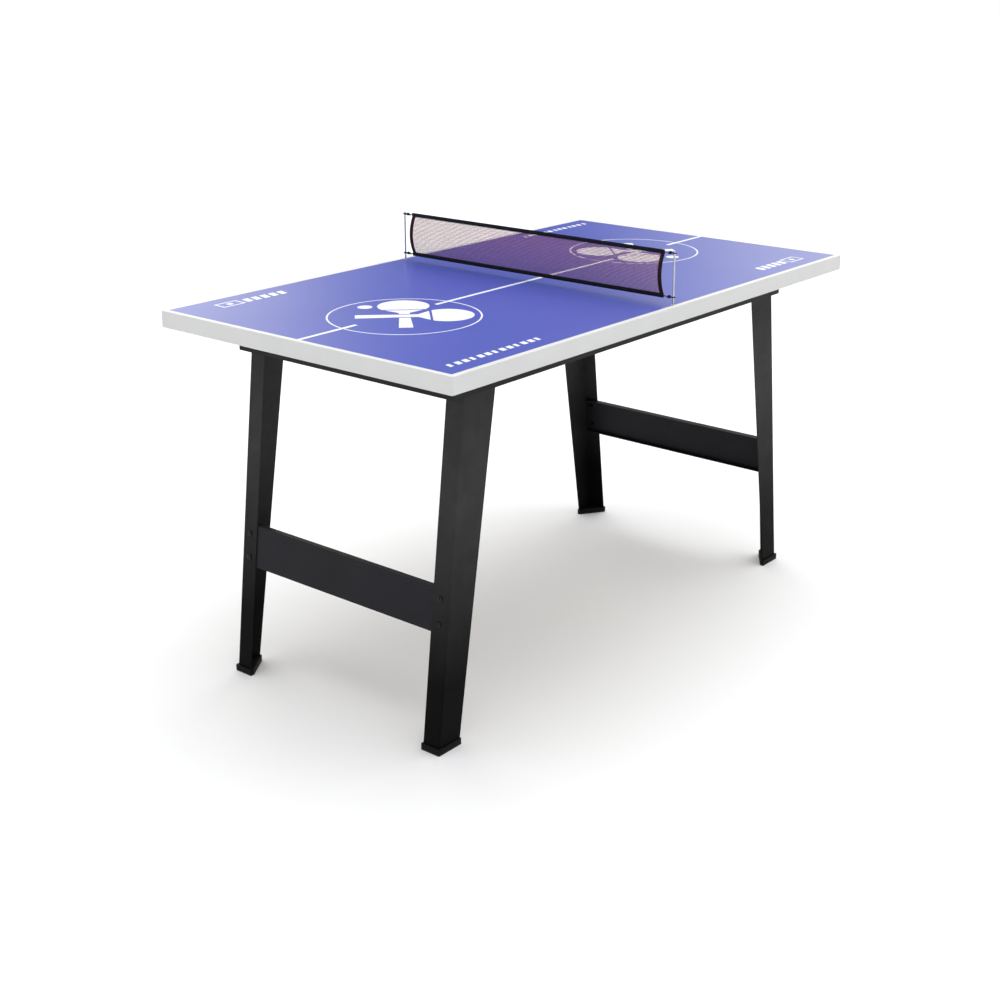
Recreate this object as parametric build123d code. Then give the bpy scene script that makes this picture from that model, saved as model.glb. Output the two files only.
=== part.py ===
"""A half-size table-tennis table, in millimetres.

A blue playing panel in a white edge frame stands on a black steel sub-frame. Four splayed legs of
bent sheet steel are bolted inside the sub-frame's corners, and a wide crossbar joins each pair.
The net hangs between two wire posts, which lift out of sockets in the panel.

X is the length, Y the width and Z is up. The origin is on the floor, under the middle.
"front" is the -X end, "back" the +X end, "left" the +Y side and "right" the -Y side.
"""

from build123d import *
import math
import os

# ---- Driving dimensions ------------------------------------------------------------------

table_length = 1370.0
table_width = 765.0
table_height = 770.0

panel_thickness = 12.0
edge_thickness = 11.0
edge_height = 34.0
edge_corner_radius = 4.0
edge_soft_radius = 1.2
corner_block_side = 40.0
corner_block_height = 20.0

sheet = 2.0
frame_half_length = 573.0
frame_half_width = 285.0
frame_bottom_drop = 86.5
rail_flange = 28.0
rail_bend_radius = 3.0
cross_rail_x = 200.0
cross_rail_width = 40.0
cross_rail_depth = 32.0
bracket_arm = 22.0
bracket_height = 46.0

leg_floor_x = 624.0
leg_top_x = 544.0
leg_top_level = 690.0
leg_end_flange = 40.0
leg_side_flange_top = 90.0
leg_side_flange_floor = 58.0
leg_bend_radius = 3.5
leg_top_gap = 6.0
leg_blank_spare = 40.0

foot_sole = 4.0
foot_height = 13.0
foot_wall = 3.0
foot_arm = 9.0
foot_corner_radius = 1.5

crossbar_middle_level = 277.0
crossbar_height = 88.0
crossbar_lip = 14.0
crossbar_end_gap = 1.5
crossbar_bolt_spacing = 50.0
crossbar_bolt_inset = 21.0

net_half_length = 343.5
net_bottom_gap = 10.4
net_top_rise = 109.0
net_bow = 10.0
net_thickness = 1.2
tape_height = 8.8
tape_thickness = 3.8
side_tape_width = 9.0
cord_radius = 1.2
cord_tunnel_gap = 0.3

post_y = 367.0
post_radius = 2.0
post_rise = 109.5
post_collar_radius = 2.8
post_collar_height = 1.6
socket_depth = 28.0
socket_wall = 1.6
socket_floor = 4.0
socket_flange_radius = 8.0
socket_flange_edge_gap = 0.3
post_tip_rounding = 0.8
running_clearance = 0.05
overshoot = 1.0

# ---- Derived levels ----------------------------------------------------------------------

top_level = table_height
panel_bottom = top_level - panel_thickness
frame_bottom = top_level - frame_bottom_drop
inner_half_length = table_length / 2 - edge_thickness
inner_half_width = table_width / 2 - edge_thickness
rail_inner_x = frame_half_length - sheet
rail_inner_y = frame_half_width - sheet
leg_slope = (leg_floor_x - leg_top_x) / leg_top_level
leg_angle = math.degrees(math.atan(leg_slope))
leg_top = panel_bottom - leg_top_gap
leg_outer_y = rail_inner_y
drill_length = sheet + 2 * overshoot

SIDES = {"front": -1, "back": 1}
HANDS = {"left": 1, "right": -1}
CORNERS = [(end, hand) for end in SIDES for hand in HANDS]


# ---- Helpers -----------------------------------------------------------------------------

def box_between(x_range, y_range, z_range):
    """A box from its lowest to its highest corner."""
    spans = [x_range, y_range, z_range]
    centre = [(low + high) / 2 for low, high in spans]
    sizes = [high - low for low, high in spans]
    return Pos(*centre) * Box(*sizes)


def rod(start, direction, radius, length):
    """A round bar from a start point along a direction."""
    plane = Plane(origin=start, z_dir=direction)
    return plane * Cylinder(radius, length, align=(Align.CENTER, Align.CENTER, Align.MIN))


def to_corner(shape, end, hand):
    """Moves a shape made at the +X +Y corner to another corner, by mirroring."""
    if SIDES[end] < 0:
        shape = mirror(shape, about=Plane.YZ)
    if HANDS[hand] < 0:
        shape = mirror(shape, about=Plane.XZ)
    return shape


def write(shape, node):
    """Writes one node's solids to its own STEP file."""
    solids = shape.solids()
    body = solids[0] if len(solids) == 1 else Compound(children=solids)
    body.label = node
    export_step(body, f"parts/{node}.step")


def bolt(seat, outward, radius, length, head_radius, head_height):
    """A button-head bolt: its head stands out of the seat and its shank goes the other way."""
    head_plane = Plane(origin=seat, z_dir=outward)
    head = Cylinder(head_radius, head_height, align=(Align.CENTER, Align.CENTER, Align.MIN))
    rim = head.edges().sort_by(Axis.Z)[-1]
    head = fillet(rim, head_height * head_rounding)
    socket_height = head_height * hex_depth_share
    socket = extrude(RegularPolygon(head_radius * hex_radius_share, 6), socket_height)
    head -= Pos(0, 0, head_height - socket_height) * socket
    shank = Pos(0, 0, -length) * Cylinder(
        radius, length, align=(Align.CENTER, Align.CENTER, Align.MIN)
    )
    return head_plane * (head + shank)


def nut(seat, outward, bolt_radius, across_flats, height):
    """A hexagon nut that stands on a seat."""
    plane = Plane(origin=seat, z_dir=outward)
    prism = extrude(RegularPolygon(across_flats / 2, 6, major_radius=False), height)
    hole = Cylinder(
        bolt_radius + running_clearance, height * 3, align=(Align.CENTER, Align.CENTER, Align.CENTER)
    )
    return plane * (prism - hole)


# ---- Fastener sizes and places -----------------------------------------------------------

m6_radius = 3.0
m6_head_radius = 5.5
m6_head_height = 3.2
m6_flats = 10.0
m6_nut_height = 4.6
m6_length = 12.0
m5_radius = 2.5
m5_head_radius = 4.6
m5_head_height = 2.6
m5_flats = 8.0
m5_nut_height = 3.8
m5_length = 10.0
hole_gap = 0.25
screw_radius = 1.9
screw_length = 9.0
screw_head_radius = 3.8
screw_head_height = 2.2
head_rounding = 0.7
hex_depth_share = 0.55
hex_radius_share = 0.42

leg_bolt_insets = [22.0, 68.0]
leg_bolt_levels = [735.0, 712.0]
bracket_bolt_offset = 13.0
bracket_end_bolt_level = 735.0
bracket_side_bolt_level = 712.0
cross_rail_bolt_level = 738.0
side_screw_places = [100.0, 300.0, 480.0]
end_screw_places = [-180.0, 0.0, 180.0]
screw_inset = 16.0


def leg_outer_x(level):
    """Where the outer face of a back leg's end flange is, at a level above the floor."""
    return leg_floor_x - leg_slope * level


def flange_normal():
    """The outward normal of a back leg's end flange."""
    angle = math.radians(leg_angle)
    return Vector(math.cos(angle), 0, math.sin(angle))


def leg_bolt_points():
    """Seats of one leg's bolts on the outer face of the side rail, at the +X +Y corner."""
    points = []
    for level in leg_bolt_levels:
        for inset in leg_bolt_insets:
            points.append(Vector(leg_outer_x(level) - inset, frame_half_width, level))
    return points


def crossbar_bolt_points():
    """Seats of one leg's two crossbar bolts on the end flange's outer face."""
    points = []
    for side in (-1, 1):
        level = crossbar_middle_level + side * crossbar_bolt_spacing / 2
        points.append(Vector(leg_outer_x(level), leg_outer_y - crossbar_bolt_inset, level))
    return points


def bracket_bolt_places():
    """Seat and outward direction of one corner bracket's two bolts."""
    side_seat = Vector(rail_inner_x - bracket_bolt_offset, frame_half_width, bracket_side_bolt_level)
    end_seat = Vector(frame_half_length, rail_inner_y - bracket_bolt_offset, bracket_end_bolt_level)
    return [(side_seat, Vector(0, 1, 0)), (end_seat, Vector(1, 0, 0))]


def screw_points():
    """Where the screws go up through the rails' flanges into the panel."""
    level = panel_bottom - sheet
    points = []
    for hand in HANDS.values():
        for place in side_screw_places:
            for end in SIDES.values():
                points.append(Vector(end * place, hand * (rail_inner_y - screw_inset), level))
    for end in SIDES.values():
        for place in end_screw_places:
            points.append(Vector(end * (rail_inner_x - screw_inset), place, level))
    return points


# ---- Table top ---------------------------------------------------------------------------

def playing_panel():
    """The flat board with the printed playing surface, drilled for screws and post sockets."""
    panel = box_between(
        (-inner_half_length, inner_half_length),
        (-inner_half_width, inner_half_width),
        (panel_bottom, top_level),
    )
    up = Vector(0, 0, 1)
    for point in screw_points():
        pilot_depth = screw_length - sheet + overshoot
        start = Vector(point.X, point.Y, panel_bottom - overshoot)
        panel -= rod(start, up, screw_radius + running_clearance, pilot_depth + overshoot)
    for hand in HANDS.values():
        start = Vector(0, hand * post_y, panel_bottom - overshoot)
        panel -= rod(start, up, socket_outer_radius(), panel_thickness + 2 * overshoot)
    return panel


def edge_ring():
    """The whole white edge frame, before it is cut into four boards."""
    level = top_level - edge_height
    outline = RectangleRounded(table_length, table_width, edge_corner_radius)
    ring = Pos(0, 0, level) * extrude(outline, edge_height)
    outer_rim = ring.edges().group_by(Axis.Z)[-1]
    ring = fillet(outer_rim, edge_soft_radius)
    lower_rim = ring.edges().group_by(Axis.Z)[0]
    ring = fillet(lower_rim, edge_soft_radius)
    inner = box_between(
        (-inner_half_length, inner_half_length),
        (-inner_half_width, inner_half_width),
        (level - overshoot, top_level + overshoot),
    )
    return ring - inner


def edge_boards():
    """The four edge boards, mitred at the corners."""
    ring = edge_ring()
    reach = 20.0
    outer_x = inner_half_length + reach
    outer_y = inner_half_width + reach
    low = top_level - edge_height - overshoot
    height = edge_height + 2 * overshoot
    long_wedge = Polygon(
        (-inner_half_length, inner_half_width),
        (inner_half_length, inner_half_width),
        (outer_x, outer_y),
        (-outer_x, outer_y),
        align=None,
    )
    end_wedge = Polygon(
        (inner_half_length, -inner_half_width),
        (outer_x, -outer_y),
        (outer_x, outer_y),
        (inner_half_length, inner_half_width),
        align=None,
    )
    left = ring & (Pos(0, 0, low) * extrude(long_wedge, height))
    back = ring & (Pos(0, 0, low) * extrude(end_wedge, height))
    return {
        "left": left,
        "right": mirror(left, about=Plane.XZ),
        "back": back,
        "front": mirror(back, about=Plane.YZ),
    }


def corner_block():
    """A triangular wooden block, glued under the panel in a corner of the edge frame."""
    side = corner_block_side
    x = inner_half_length
    y = inner_half_width
    outline = Polygon((x, y), (x - side, y), (x, y - side), align=None)
    return Pos(0, 0, panel_bottom - corner_block_height) * extrude(outline, corner_block_height)


# ---- Steel sub-frame ---------------------------------------------------------------------

def angle_section(length, web_height):
    """A bent sheet angle along X. Its web's outer face is on y=0 and its flange is at z=0."""
    outline = Polygon(
        (0, 0),
        (0, -web_height),
        (-sheet, -web_height),
        (-sheet, -sheet),
        (-rail_flange, -sheet),
        (-rail_flange, 0),
        align=None,
    )
    outer_corner = outline.vertices().sort_by_distance((0, 0))[0]
    outline = fillet(outer_corner, rail_bend_radius)
    inner_corner = outline.vertices().sort_by_distance((-sheet, -sheet))[0]
    outline = fillet(inner_corner, rail_bend_radius - sheet)
    return extrude(Plane.YZ * outline, length / 2, both=True)


def side_rail():
    """The left rail of the sub-frame: a bent angle, flange inwards and up."""
    web_height = panel_bottom - frame_bottom
    rail = Pos(0, frame_half_width, panel_bottom) * angle_section(2 * frame_half_length, web_height)
    inward = Vector(0, -1, 0)
    for end in SIDES.values():
        for point in leg_bolt_points():
            start = Vector(end * point.X, frame_half_width + overshoot, point.Z)
            rail -= rod(start, inward, m6_radius + hole_gap, drill_length)
        bracket_x = end * (rail_inner_x - bracket_bolt_offset)
        start = Vector(bracket_x, frame_half_width + overshoot, bracket_side_bolt_level)
        rail -= rod(start, inward, m5_radius + hole_gap, drill_length)
        start = Vector(end * cross_rail_x, frame_half_width + overshoot, cross_rail_bolt_level)
        rail -= rod(start, inward, m5_radius + hole_gap, drill_length)
    return drill_flange(rail)


def end_rail():
    """The back rail of the sub-frame, which fits between the side rails."""
    web_height = panel_bottom - frame_bottom
    length = 2 * rail_inner_y
    across = Rot(0, 0, -90) * angle_section(length, web_height)
    rail = Pos(frame_half_length, 0, panel_bottom) * across
    notch_start = frame_half_width - rail_flange - hole_gap
    for hand in HANDS.values():
        rail -= box_between(
            (rail_inner_x - rail_flange, frame_half_length + overshoot),
            sorted((hand * notch_start, hand * (frame_half_width + overshoot))),
            (panel_bottom - rail_bend_radius, panel_bottom + overshoot),
        )
        bolt_y = hand * (rail_inner_y - bracket_bolt_offset)
        start = Vector(frame_half_length + overshoot, bolt_y, bracket_end_bolt_level)
        rail -= rod(start, Vector(-1, 0, 0), m5_radius + hole_gap, drill_length)
    return drill_flange(rail)


def drill_flange(rail):
    """Drills a rail's flange where the panel's screws pass."""
    for point in screw_points():
        start = Vector(point.X, point.Y, point.Z - overshoot)
        rail -= rod(start, Vector(0, 0, 1), screw_radius + hole_gap, drill_length)
    return rail


def cross_rail():
    """A shallow channel, open downwards, that carries the panel's middle. It has closed ends."""
    half = cross_rail_width / 2
    rail = box_between(
        (cross_rail_x - half, cross_rail_x + half),
        (-rail_inner_y, rail_inner_y),
        (panel_bottom - cross_rail_depth, panel_bottom),
    )
    rail -= box_between(
        (cross_rail_x - half + sheet, cross_rail_x + half - sheet),
        (-rail_inner_y + sheet, rail_inner_y - sheet),
        (panel_bottom - cross_rail_depth - overshoot, panel_bottom - sheet),
    )
    for hand in HANDS.values():
        notch_start = frame_half_width - rail_flange - hole_gap
        rail -= box_between(
            (cross_rail_x - half - overshoot, cross_rail_x + half + overshoot),
            sorted((hand * notch_start, hand * (rail_inner_y + overshoot))),
            (panel_bottom - sheet - rail_bend_radius, panel_bottom + overshoot),
        )
        start = Vector(cross_rail_x, hand * (rail_inner_y + overshoot), cross_rail_bolt_level)
        rail -= rod(start, Vector(0, -hand, 0), m5_radius + hole_gap, drill_length)
    return rail


def corner_bracket():
    """A small bent angle that joins a side rail to an end rail, at the +X +Y corner."""
    x = rail_inner_x
    y = rail_inner_y
    arm = bracket_arm
    outline = Polygon(
        (x, y),
        (x - arm, y),
        (x - arm, y - sheet),
        (x - sheet, y - sheet),
        (x - sheet, y - arm),
        (x, y - arm),
        align=None,
    )
    middle = (bracket_end_bolt_level + bracket_side_bolt_level) / 2
    bracket = Pos(0, 0, middle - bracket_height / 2) * extrude(outline, bracket_height)
    for seat, outward in bracket_bolt_places():
        bracket -= rod(seat + outward, outward * -1, m5_radius + hole_gap, 3 * sheet)
    return bracket


# ---- Legs, feet and crossbars ------------------------------------------------------------

def leg_profile():
    """The leg's angle section: x runs along the side flange and y along the end flange."""
    width = leg_side_flange_top + leg_blank_spare
    outline = Polygon(
        (0, 0),
        (width, 0),
        (width, sheet),
        (sheet, sheet),
        (sheet, leg_end_flange),
        (0, leg_end_flange),
        align=None,
    )
    outer_corner = outline.vertices().sort_by_distance((0, 0))[0]
    outline = fillet(outer_corner, leg_bend_radius)
    inner_corner = outline.vertices().sort_by_distance((sheet, sheet))[0]
    return fillet(inner_corner, leg_bend_radius - sheet)


def leg():
    """The back left leg: a splayed angle of bent sheet whose side flange narrows to the floor."""
    angle = math.radians(leg_angle)
    up_the_leg = Vector(-math.sin(angle), 0, math.cos(angle))
    inward = Vector(-math.cos(angle), 0, -math.sin(angle))
    start = Vector(leg_floor_x, leg_outer_y, 0) - up_the_leg * leg_blank_spare
    plane = Plane(origin=start, x_dir=inward, z_dir=up_the_leg)
    blank = extrude(plane * leg_profile(), table_height + 2 * leg_blank_spare)
    body = blank & box_between((0, table_length / 2), (0, table_width / 2), (foot_sole, leg_top))
    body -= leg_taper_cut()
    for point in leg_bolt_points():
        start = Vector(point.X, leg_outer_y + overshoot, point.Z)
        body -= rod(start, Vector(0, -1, 0), m6_radius + hole_gap, drill_length)
    outward = flange_normal()
    for seat in crossbar_bolt_points():
        body -= rod(seat + outward, outward * -1, m6_radius + hole_gap, drill_length)
    return body


def leg_taper_cut():
    """The prism that trims the side flange's free edge to its taper."""
    def free_edge(level):
        share = level / leg_top_level
        grown = (leg_side_flange_top - leg_side_flange_floor) * share
        return leg_outer_x(level) - leg_side_flange_floor - grown

    low = -leg_blank_spare
    high = table_height + leg_blank_spare
    outline = Polygon(
        (free_edge(low), low),
        (free_edge(high), high),
        (0, high),
        (0, low),
        align=None,
    )
    cut = extrude(Plane.XZ * outline, sheet + overshoot, both=True)
    return Pos(0, leg_outer_y, 0) * cut


def foot_cap(leg_body):
    """A moulded foot round the leg's end, with a slanting inner face between its two arms."""
    x = leg_outer_x(foot_sole) + foot_wall
    y = leg_outer_y + foot_wall
    along = leg_side_flange_floor + 2 * foot_wall
    across = leg_end_flange + 2 * foot_wall
    outline = Polygon(
        (x, y),
        (x - along, y),
        (x - along, y - foot_arm),
        (x - foot_arm, y - across),
        (x, y - across),
        align=None,
    )
    outline = fillet(outline.vertices(), foot_corner_radius)
    cap = extrude(outline, foot_height)
    return cap - leg_body


def crossbar():
    """The back crossbar: a wide plate with a lip along its top and bottom, bent inwards."""
    outward = flange_normal()
    middle = Vector(leg_outer_x(crossbar_middle_level), 0, crossbar_middle_level)
    plane = Plane(origin=middle - outward * sheet, x_dir=(0, 1, 0), z_dir=outward * -1)
    length = 2 * (leg_outer_y - sheet - crossbar_end_gap)
    plate = Box(length, crossbar_height, sheet, align=(Align.CENTER, Align.CENTER, Align.MIN))
    lip_length = length - 2 * (leg_bend_radius + sheet)
    bar = plate
    for side in (-1, 1):
        lip = Box(lip_length, sheet, crossbar_lip, align=(Align.CENTER, Align.CENTER, Align.MIN))
        bar += Pos(0, side * (crossbar_height - sheet) / 2, 0) * lip
    bar = plane * bar
    for seat in crossbar_bolt_points():
        for hand in HANDS.values():
            start = Vector(seat.X, hand * seat.Y, seat.Z) + outward
            bar -= rod(start, outward * -1, m6_radius + hole_gap, 3 * sheet)
    return bar


# ---- Fasteners ---------------------------------------------------------------------------

def corner_fasteners(make):
    """Makes one corner's fasteners at all four corners, as separate solids."""
    made = []
    for end, hand in CORNERS:
        made += [to_corner(shape, end, hand) for shape in make()]
    return Compound(children=[solid for shape in made for solid in shape.solids()])


def leg_bolts():
    return [
        bolt(seat, Vector(0, 1, 0), m6_radius, m6_length, m6_head_radius, m6_head_height)
        for seat in leg_bolt_points()
    ]


def leg_nuts():
    inner = Vector(0, 2 * sheet, 0)
    return [
        nut(seat - inner, Vector(0, -1, 0), m6_radius, m6_flats, m6_nut_height)
        for seat in leg_bolt_points()
    ]


def crossbar_bolts():
    return [
        bolt(seat, flange_normal(), m6_radius, m6_length, m6_head_radius, m6_head_height)
        for seat in crossbar_bolt_points()
    ]


def crossbar_nuts():
    inner = flange_normal() * (2 * sheet)
    return [
        nut(seat - inner, flange_normal() * -1, m6_radius, m6_flats, m6_nut_height)
        for seat in crossbar_bolt_points()
    ]


def bracket_bolts():
    return [
        bolt(seat, outward, m5_radius, m5_length, m5_head_radius, m5_head_height)
        for seat, outward in bracket_bolt_places()
    ]


def bracket_nuts():
    return [
        nut(seat - outward * (2 * sheet), outward * -1, m5_radius, m5_flats, m5_nut_height)
        for seat, outward in bracket_bolt_places()
    ]


def cross_rail_seat():
    return Vector(cross_rail_x, frame_half_width, cross_rail_bolt_level)


def cross_rail_bolts():
    outward = Vector(0, 1, 0)
    return [bolt(cross_rail_seat(), outward, m5_radius, m5_length, m5_head_radius, m5_head_height)]


def cross_rail_nuts():
    inner = Vector(0, 2 * sheet, 0)
    return [nut(cross_rail_seat() - inner, Vector(0, -1, 0), m5_radius, m5_flats, m5_nut_height)]


def panel_screws():
    """The screws that hold the panel down on the sub-frame, driven from below."""
    screws = []
    for point in screw_points():
        head = rod(point, Vector(0, 0, -1), screw_head_radius, screw_head_height)
        screws += (head + rod(point, Vector(0, 0, 1), screw_radius, screw_length)).solids()
    return Compound(children=screws)


# ---- Net set -----------------------------------------------------------------------------

def socket_outer_radius():
    return post_radius + running_clearance + socket_wall


def post_socket():
    """A plastic sleeve, flush with the panel and closed at the bottom.

    Its flange lies under the panel, with a flat beside the edge board.
    """
    up = Vector(0, 0, 1)
    bottom = top_level - socket_depth - socket_floor
    sleeve = rod(Vector(0, post_y, bottom), up, socket_outer_radius(), socket_depth + socket_floor)
    flange = rod(Vector(0, post_y, panel_bottom - sheet), up, socket_flange_radius, sheet)
    flange &= box_between(
        (-socket_flange_radius, socket_flange_radius),
        (post_y - socket_flange_radius, inner_half_width - socket_flange_edge_gap),
        (panel_bottom - sheet, panel_bottom),
    )
    bore_start = Vector(0, post_y, top_level - socket_depth)
    bore = rod(bore_start, up, post_radius + running_clearance, socket_depth + overshoot)
    return sleeve + flange - bore


def cord_levels():
    """The levels of the net's bottom and top cords."""
    low = top_level + net_bottom_gap + tape_height / 2
    high = top_level + net_top_rise - tape_height / 2
    return low, high


def net_post():
    """A wire post with a domed tip and a small collar under each cord loop."""
    up = Vector(0, 0, 1)
    bottom = Vector(0, post_y, top_level - socket_depth)
    length = socket_depth + post_rise
    post = rod(bottom, up, post_radius, length)
    tip = post.edges().sort_by(Axis.Z)[-1]
    post = fillet(tip, post_radius * post_tip_rounding)
    for level in cord_levels():
        collar_bottom = level - cord_radius - running_clearance - post_collar_height
        post += rod(Vector(0, post_y, collar_bottom), up, post_collar_radius, post_collar_height)
    return post


def net_cord(level):
    """A cord that runs through a tape from post to post and is looped round both."""
    ring_radius = post_radius + cord_radius + running_clearance
    reach = post_y - ring_radius
    cord = rod(Vector(0, -reach, level), Vector(0, 1, 0), cord_radius, 2 * reach)
    for hand in HANDS.values():
        cord += Pos(0, hand * post_y, level) * Torus(ring_radius, cord_radius)
    return cord


def straight_tape(level):
    """A folded tape with a tunnel for its cord."""
    half = tape_height / 2
    tape = box_between(
        (-tape_thickness / 2, tape_thickness / 2),
        (-net_half_length, net_half_length),
        (level - half, level + half),
    )
    start = Vector(0, -net_half_length - overshoot, level)
    length = 2 * (net_half_length + overshoot)
    return tape - rod(start, Vector(0, 1, 0), cord_radius + cord_tunnel_gap, length)


def bowed_wall(y_range, thickness):
    """An upright wall between the two tapes, bowed towards the front end."""
    low = top_level + net_bottom_gap + tape_height
    high = top_level + net_top_rise - tape_height
    half_chord = (high - low) / 2
    radius = (half_chord**2 + net_bow**2) / (2 * net_bow)
    length = y_range[1] - y_range[0]
    start = Vector(radius - net_bow, y_range[0], (low + high) / 2)
    outer = rod(start, Vector(0, 1, 0), radius + thickness / 2, length)
    inner = rod(start, Vector(0, 1, 0), radius - thickness / 2, length)
    return (outer - inner) & box_between((-radius, radius - net_bow), y_range, (low, high))


def net_mesh():
    reach = net_half_length - side_tape_width
    return bowed_wall((-reach, reach), net_thickness)


def side_tape():
    reach = net_half_length - side_tape_width
    return bowed_wall((reach, net_half_length), tape_thickness)


# ---- Everything, node by node ------------------------------------------------------------

def main():
    os.makedirs("parts", exist_ok=True)
    write(playing_panel(), "playing_panel")
    for name, board in edge_boards().items():
        write(board, f"edge_board_{name}")

    left_rail = side_rail()
    write(left_rail, "frame_rail_left")
    write(mirror(left_rail, about=Plane.XZ), "frame_rail_right")
    back_rail = end_rail()
    write(back_rail, "frame_rail_back")
    write(mirror(back_rail, about=Plane.YZ), "frame_rail_front")
    back_cross_rail = cross_rail()
    write(back_cross_rail, "cross_rail_back")
    write(mirror(back_cross_rail, about=Plane.YZ), "cross_rail_front")

    leg_body = leg()
    corner_parts = {
        "corner_block": corner_block(),
        "frame_bracket": corner_bracket(),
        "leg": leg_body,
        "foot_cap": foot_cap(leg_body),
    }
    for name, shape in corner_parts.items():
        for end, hand in CORNERS:
            write(to_corner(shape, end, hand), f"{name}_{end}_{hand}")

    back_crossbar = crossbar()
    write(back_crossbar, "crossbar_back")
    write(mirror(back_crossbar, about=Plane.YZ), "crossbar_front")

    fasteners = [leg_bolts, leg_nuts, crossbar_bolts, crossbar_nuts]
    fasteners += [bracket_bolts, bracket_nuts, cross_rail_bolts, cross_rail_nuts]
    for make in fasteners:
        write(corner_fasteners(make), make.__name__)
    write(panel_screws(), "panel_screws")

    low, high = cord_levels()
    write(net_mesh(), "net_mesh")
    write(straight_tape(high), "net_top_tape")
    write(straight_tape(low), "net_bottom_tape")
    write(net_cord(high), "net_top_cord")
    write(net_cord(low), "net_bottom_cord")
    pairs = {"net_side_tape": side_tape(), "net_post": net_post(), "post_socket": post_socket()}
    for name, shape in pairs.items():
        write(shape, f"{name}_left")
        write(mirror(shape, about=Plane.XZ), f"{name}_right")


main()
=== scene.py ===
"""The looks of a half-size table-tennis table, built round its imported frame.

Everything is in metres. X is the table's length, Y its width and Z is up, with the origin on the
floor under the middle. The front end is -X, the back end +X, the left side +Y, the right side -Y.
"""

import math
import random

import bpy
from mathutils import Matrix, Vector


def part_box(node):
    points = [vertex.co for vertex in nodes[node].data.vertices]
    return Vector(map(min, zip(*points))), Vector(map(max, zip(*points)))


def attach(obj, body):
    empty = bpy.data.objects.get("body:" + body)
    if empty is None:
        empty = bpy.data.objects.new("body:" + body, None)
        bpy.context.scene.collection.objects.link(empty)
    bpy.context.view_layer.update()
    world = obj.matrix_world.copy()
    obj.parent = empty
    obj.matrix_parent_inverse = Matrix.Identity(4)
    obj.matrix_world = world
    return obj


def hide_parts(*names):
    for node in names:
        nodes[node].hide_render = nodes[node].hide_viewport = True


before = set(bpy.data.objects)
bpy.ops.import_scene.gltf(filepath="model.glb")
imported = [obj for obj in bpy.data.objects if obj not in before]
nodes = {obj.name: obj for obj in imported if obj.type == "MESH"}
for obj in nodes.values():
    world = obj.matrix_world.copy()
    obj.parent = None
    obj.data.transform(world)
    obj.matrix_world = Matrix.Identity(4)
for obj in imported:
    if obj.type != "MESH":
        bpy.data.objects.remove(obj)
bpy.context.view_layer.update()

MM = 0.001
ENDS = {"front": -1, "back": 1}
HANDS = {"left": 1, "right": -1}

panel_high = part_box("playing_panel")[1]
surface_level = panel_high.z
tape_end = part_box("net_bottom_tape")[1].y
mesh_low, mesh_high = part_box("net_mesh")
post_low, post_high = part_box("net_post_left")


# ---- Material graphs ---------------------------------------------------------------------

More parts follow.
